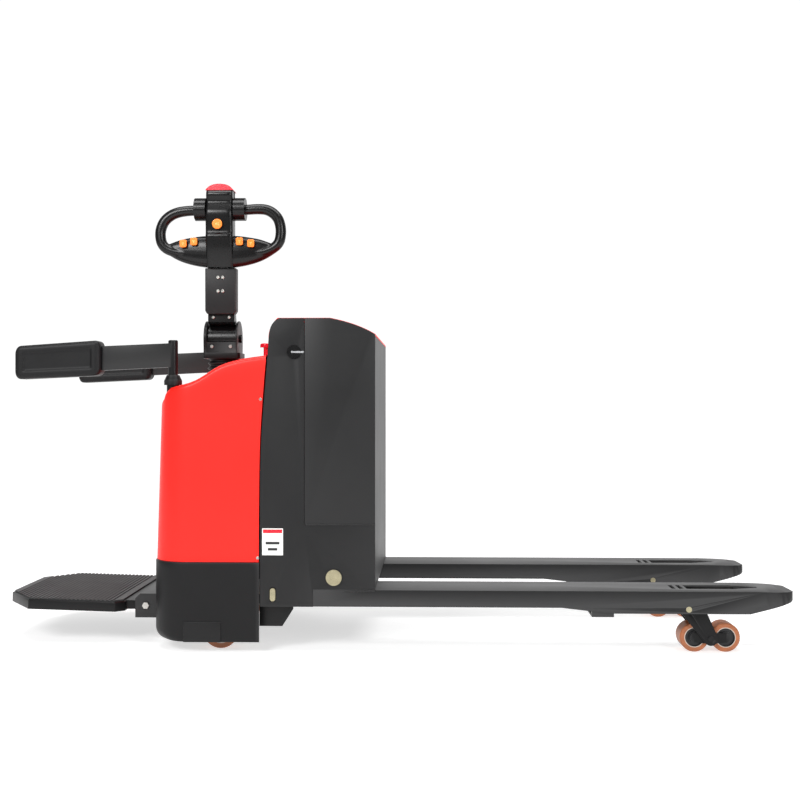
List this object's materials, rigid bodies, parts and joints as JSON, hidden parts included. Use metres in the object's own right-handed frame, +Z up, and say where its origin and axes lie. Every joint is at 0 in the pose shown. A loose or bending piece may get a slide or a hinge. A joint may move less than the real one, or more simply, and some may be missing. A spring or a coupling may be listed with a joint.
{
  "type": "electric pallet truck",
  "caption": "Ride-on electric pallet truck with fold-down platform, side arms, upright tiller, battery box and two lifting forks.",
  "frame": {"origin": "on the floor under the middle of the truck's length and width", "axes": "+X along the forks, +Z up"},
  "size_m": [2.236, 0.6945, 1.345],
  "materials": {
    "red_plastic": "satin moulded red",
    "dark_steel": "powder coated charcoal",
    "black_plastic": "moulded black",
    "soft_black": "foam skin",
    "rubber_mat": "ribbed rubber",
    "polyurethane": "bonded polyurethane",
    "zinc": "zinc plated",
    "steel": "machined",
    "cast": "cast housing",
    "battery_case": "battery case",
    "aluminium": "cast aluminium",
    "red_button": "glossy red",
    "orange_button": "glossy amber"
  },
  "bodies": {
    "power_unit": {"base_frame": "dark_steel", "red_cover": "red_plastic", "lower_shroud": "black_plastic", "access_cover": "black_plastic", "steering_bearing": "steel", "hydraulic_unit": "cast", "lift_cylinder": "dark_steel", "motor_controller": "aluminium", "arm_posts": "dark_steel", "platform_bracket": "dark_steel", "platform_bolts": "zinc"},
    "lift_frame": {"side_plate_near": "dark_steel", "side_plate_far": "dark_steel", "battery_doors": "dark_steel", "battery_box": "dark_steel", "battery_pack": "battery_case", "lift_carriage": "dark_steel", "fork_near": "dark_steel", "fork_far": "dark_steel", "lift_fasteners": "zinc"},
    "battery_lid": {"battery_lid": "red_plastic"},
    "door_lock": {"door_lock": "black_plastic"},
    "rocker": {"rocker_shaft": "dark_steel"},
    "push_rods": {"push_rods": "dark_steel"},
    "wheel_arms": {"wheel_arms": "dark_steel"},
    "bogie_near": {"bogie_near": "dark_steel"},
    "bogie_far": {"bogie_far": "dark_steel"},
    "platform": {"platform_plate": "dark_steel", "platform_mat": "rubber_mat"},
    "arm_near": {"arm_tube_near": "dark_steel", "arm_pad_near": "soft_black"},
    "arm_far": {"arm_tube_far": "dark_steel", "arm_pad_far": "soft_black"},
    "drive_unit": {"drive_gearbox": "cast", "drive_motor": "cast", "steering_column": "steel", "tiller_base": "dark_steel", "tiller_screws": "zinc"},
    "drive_wheel": {"drive_wheel": "polyurethane"},
    "tiller": {"tiller_hub": "black_plastic", "tiller_arm": "dark_steel", "tiller_arm_screws": "zinc", "head_shell": "black_plastic", "grip_loops": "black_plastic"},
    "throttle": {"throttle_butterfly": "black_plastic"},
    "belly_button": {"belly_button": "red_button"},
    "horn_button": {"horn_button": "orange_button"},
    "raise_button": {"raise_button": "orange_button"},
    "lower_button": {"lower_button": "orange_button"},
    "slow_button": {"slow_button": "orange_button"},
    "speed_button": {"speed_button": "orange_button"},
    "emergency_stop": {"emergency_stop": "red_button"},
    "caster_near": {"caster_fork_near": "steel"},
    "caster_far": {"caster_fork_far": "steel"},
    "caster_wheel_near": {"caster_wheel_near": "polyurethane"},
    "caster_wheel_far": {"caster_wheel_far": "polyurethane"},
    "load_wheel_near_rear": {"load_wheel_near_rear": "polyurethane"},
    "load_wheel_near_front": {"load_wheel_near_front": "polyurethane"},
    "load_wheel_far_rear": {"load_wheel_far_rear": "polyurethane"},
    "load_wheel_far_front": {"load_wheel_far_front": "polyurethane"}
  },
  "joints": [
    {"name": "lift", "type": "slide", "parent": "power_unit", "child": "lift_frame", "axis": [0, 0, 1], "range_m": [-0.088, 0.012]},
    {"name": "rocker_turn", "type": "hinge", "parent": "lift_frame", "child": "rocker", "pos_m": [-0.146, 0, 0.209], "axis": [0, 1, 0], "range_deg": [-3.23, 23.52]},
    {"name": "push_rod_slide", "type": "slide", "parent": "lift_frame", "child": "push_rods", "axis": [1, 0, 0], "range_m": [-0.0243, 0.0034]},
    {"name": "wheel_arm_swing", "type": "hinge", "parent": "lift_frame", "child": "wheel_arms", "pos_m": [0.825, 0, 0.126], "axis": [0, 1, 0], "range_deg": [-51.95, 7.1]},
    {"name": "bogie_near_level", "type": "hinge", "parent": "wheel_arms", "child": "bogie_near", "pos_m": [0.894, -0.26, 0.038], "axis": [0, 1, 0], "range_deg": [-7.1, 51.95]},
    {"name": "load_wheel_near_rear_spin", "type": "hinge", "parent": "bogie_near", "child": "load_wheel_near_rear", "pos_m": [0.851, -0.26, 0.04], "axis": [0, 1, 0], "continuous": true},
    {"name": "load_wheel_near_front_spin", "type": "hinge", "parent": "bogie_near", "child": "load_wheel_near_front", "pos_m": [0.937, -0.26, 0.04], "axis": [0, 1, 0], "continuous": true},
    {"name": "bogie_far_level", "type": "hinge", "parent": "wheel_arms", "child": "bogie_far", "pos_m": [0.894, 0.26, 0.038], "axis": [0, 1, 0], "range_deg": [-7.1, 51.95]},
    {"name": "load_wheel_far_rear_spin", "type": "hinge", "parent": "bogie_far", "child": "load_wheel_far_rear", "pos_m": [0.851, 0.26, 0.04], "axis": [0, 1, 0], "continuous": true},
    {"name": "load_wheel_far_front_spin", "type": "hinge", "parent": "bogie_far", "child": "load_wheel_far_front", "pos_m": [0.937, 0.26, 0.04], "axis": [0, 1, 0], "continuous": true},
    {"name": "battery_lid_open", "type": "hinge", "parent": "lift_frame", "child": "battery_lid", "pos_m": [-0.312, 0, 0.893], "axis": [0, -1, 0], "range_deg": [0, 60]},
    {"name": "door_lock_turn", "type": "hinge", "parent": "lift_frame", "child": "door_lock", "pos_m": [-0.256, -0.3425, 0.83], "axis": [0, 1, 0], "range_deg": [0, 90]},
    {"name": "platform_fold", "type": "hinge", "parent": "power_unit", "child": "platform", "pos_m": [-0.698, 0, 0.108], "axis": [0, 1, 0], "range_deg": [0, 85]},
    {"name": "arm_near_fold", "type": "hinge", "parent": "power_unit", "child": "arm_near", "pos_m": [-0.603, -0.29, 0], "axis": [0, 0, 1], "range_deg": [-80, 0]},
    {"name": "arm_far_fold", "type": "hinge", "parent": "power_unit", "child": "arm_far", "pos_m": [-0.603, 0.29, 0], "axis": [0, 0, 1], "range_deg": [0, 80]},
    {"name": "steer", "type": "hinge", "parent": "power_unit", "child": "drive_unit", "pos_m": [-0.512, 0, 0], "axis": [0, 0, 1], "range_deg": [-180, 0]},
    {"name": "drive_wheel_spin", "type": "hinge", "parent": "drive_unit", "child": "drive_wheel", "pos_m": [-0.512, 0, 0.105], "axis": [1, 0, 0], "continuous": true},
    {"name": "tiller_tilt", "type": "hinge", "parent": "drive_unit", "child": "tiller", "pos_m": [-0.512, 0, 0.885], "axis": [1, 0, 0], "range_deg": [0, 60], "stiffness_Nm_per_rad": 40, "springref_deg": -20.05},
    {"name": "throttle_turn", "type": "hinge", "parent": "tiller", "child": "throttle", "pos_m": [-0.512, -0.06, 1.271], "axis": [1, 0, 0], "range_deg": [-35, 35], "stiffness_Nm_per_rad": 0.6},
    {"name": "belly_button_press", "type": "slide", "parent": "tiller", "child": "belly_button", "axis": [0, 0, -1], "range_m": [0, 0.003], "stiffness_N_per_m": 900},
    {"name": "horn_button_press", "type": "slide", "parent": "tiller", "child": "horn_button", "axis": [0, 1, 0], "range_m": [0, 0.002], "stiffness_N_per_m": 500},
    {"name": "raise_button_press", "type": "slide", "parent": "tiller", "child": "raise_button", "axis": [0, 1, 0], "range_m": [0, 0.0025], "stiffness_N_per_m": 500},
    {"name": "lower_button_press", "type": "slide", "parent": "tiller", "child": "lower_button", "axis": [0, 1, 0], "range_m": [0, 0.0025], "stiffness_N_per_m": 500},
    {"name": "slow_button_press", "type": "slide", "parent": "tiller", "child": "slow_button", "axis": [0, 1, 0], "range_m": [0, 0.0025], "stiffness_N_per_m": 500},
    {"name": "speed_button_press", "type": "slide", "parent": "tiller", "child": "speed_button", "axis": [0, 1, 0], "range_m": [0, 0.0025], "stiffness_N_per_m": 500},
    {"name": "emergency_stop_press", "type": "slide", "parent": "power_unit", "child": "emergency_stop", "axis": [0, 0, -1], "range_m": [0, 0.008], "stiffness_N_per_m": 900},
    {"name": "caster_near_swivel", "type": "hinge", "parent": "power_unit", "child": "caster_near", "pos_m": [-0.442, -0.262, 0.11], "axis": [0, 0, 1], "continuous": true},
    {"name": "caster_wheel_near_spin", "type": "hinge", "parent": "caster_near", "child": "caster_wheel_near", "pos_m": [-0.47, -0.262, 0.05], "axis": [0, 1, 0], "continuous": true},
    {"name": "caster_far_swivel", "type": "hinge", "parent": "power_unit", "child": "caster_far", "pos_m": [-0.442, 0.262, 0.11], "axis": [0, 0, 1], "continuous": true},
    {"name": "caster_wheel_far_spin", "type": "hinge", "parent": "caster_far", "child": "caster_wheel_far", "pos_m": [-0.47, 0.262, 0.05], "axis": [0, 1, 0], "continuous": true}
  ],
  "couplings": [
    {"joint": "rocker_turn", "follows": "lift", "rad_per_m": -4.661},
    {"joint": "push_rod_slide", "follows": "lift", "ratio": 0.275},
    {"joint": "wheel_arm_swing", "follows": "lift", "rad_per_m": 10.3},
    {"joint": "bogie_near_level", "follows": "lift", "rad_per_m": -10.3},
    {"joint": "bogie_far_level", "follows": "lift", "rad_per_m": -10.3}
  ]
}
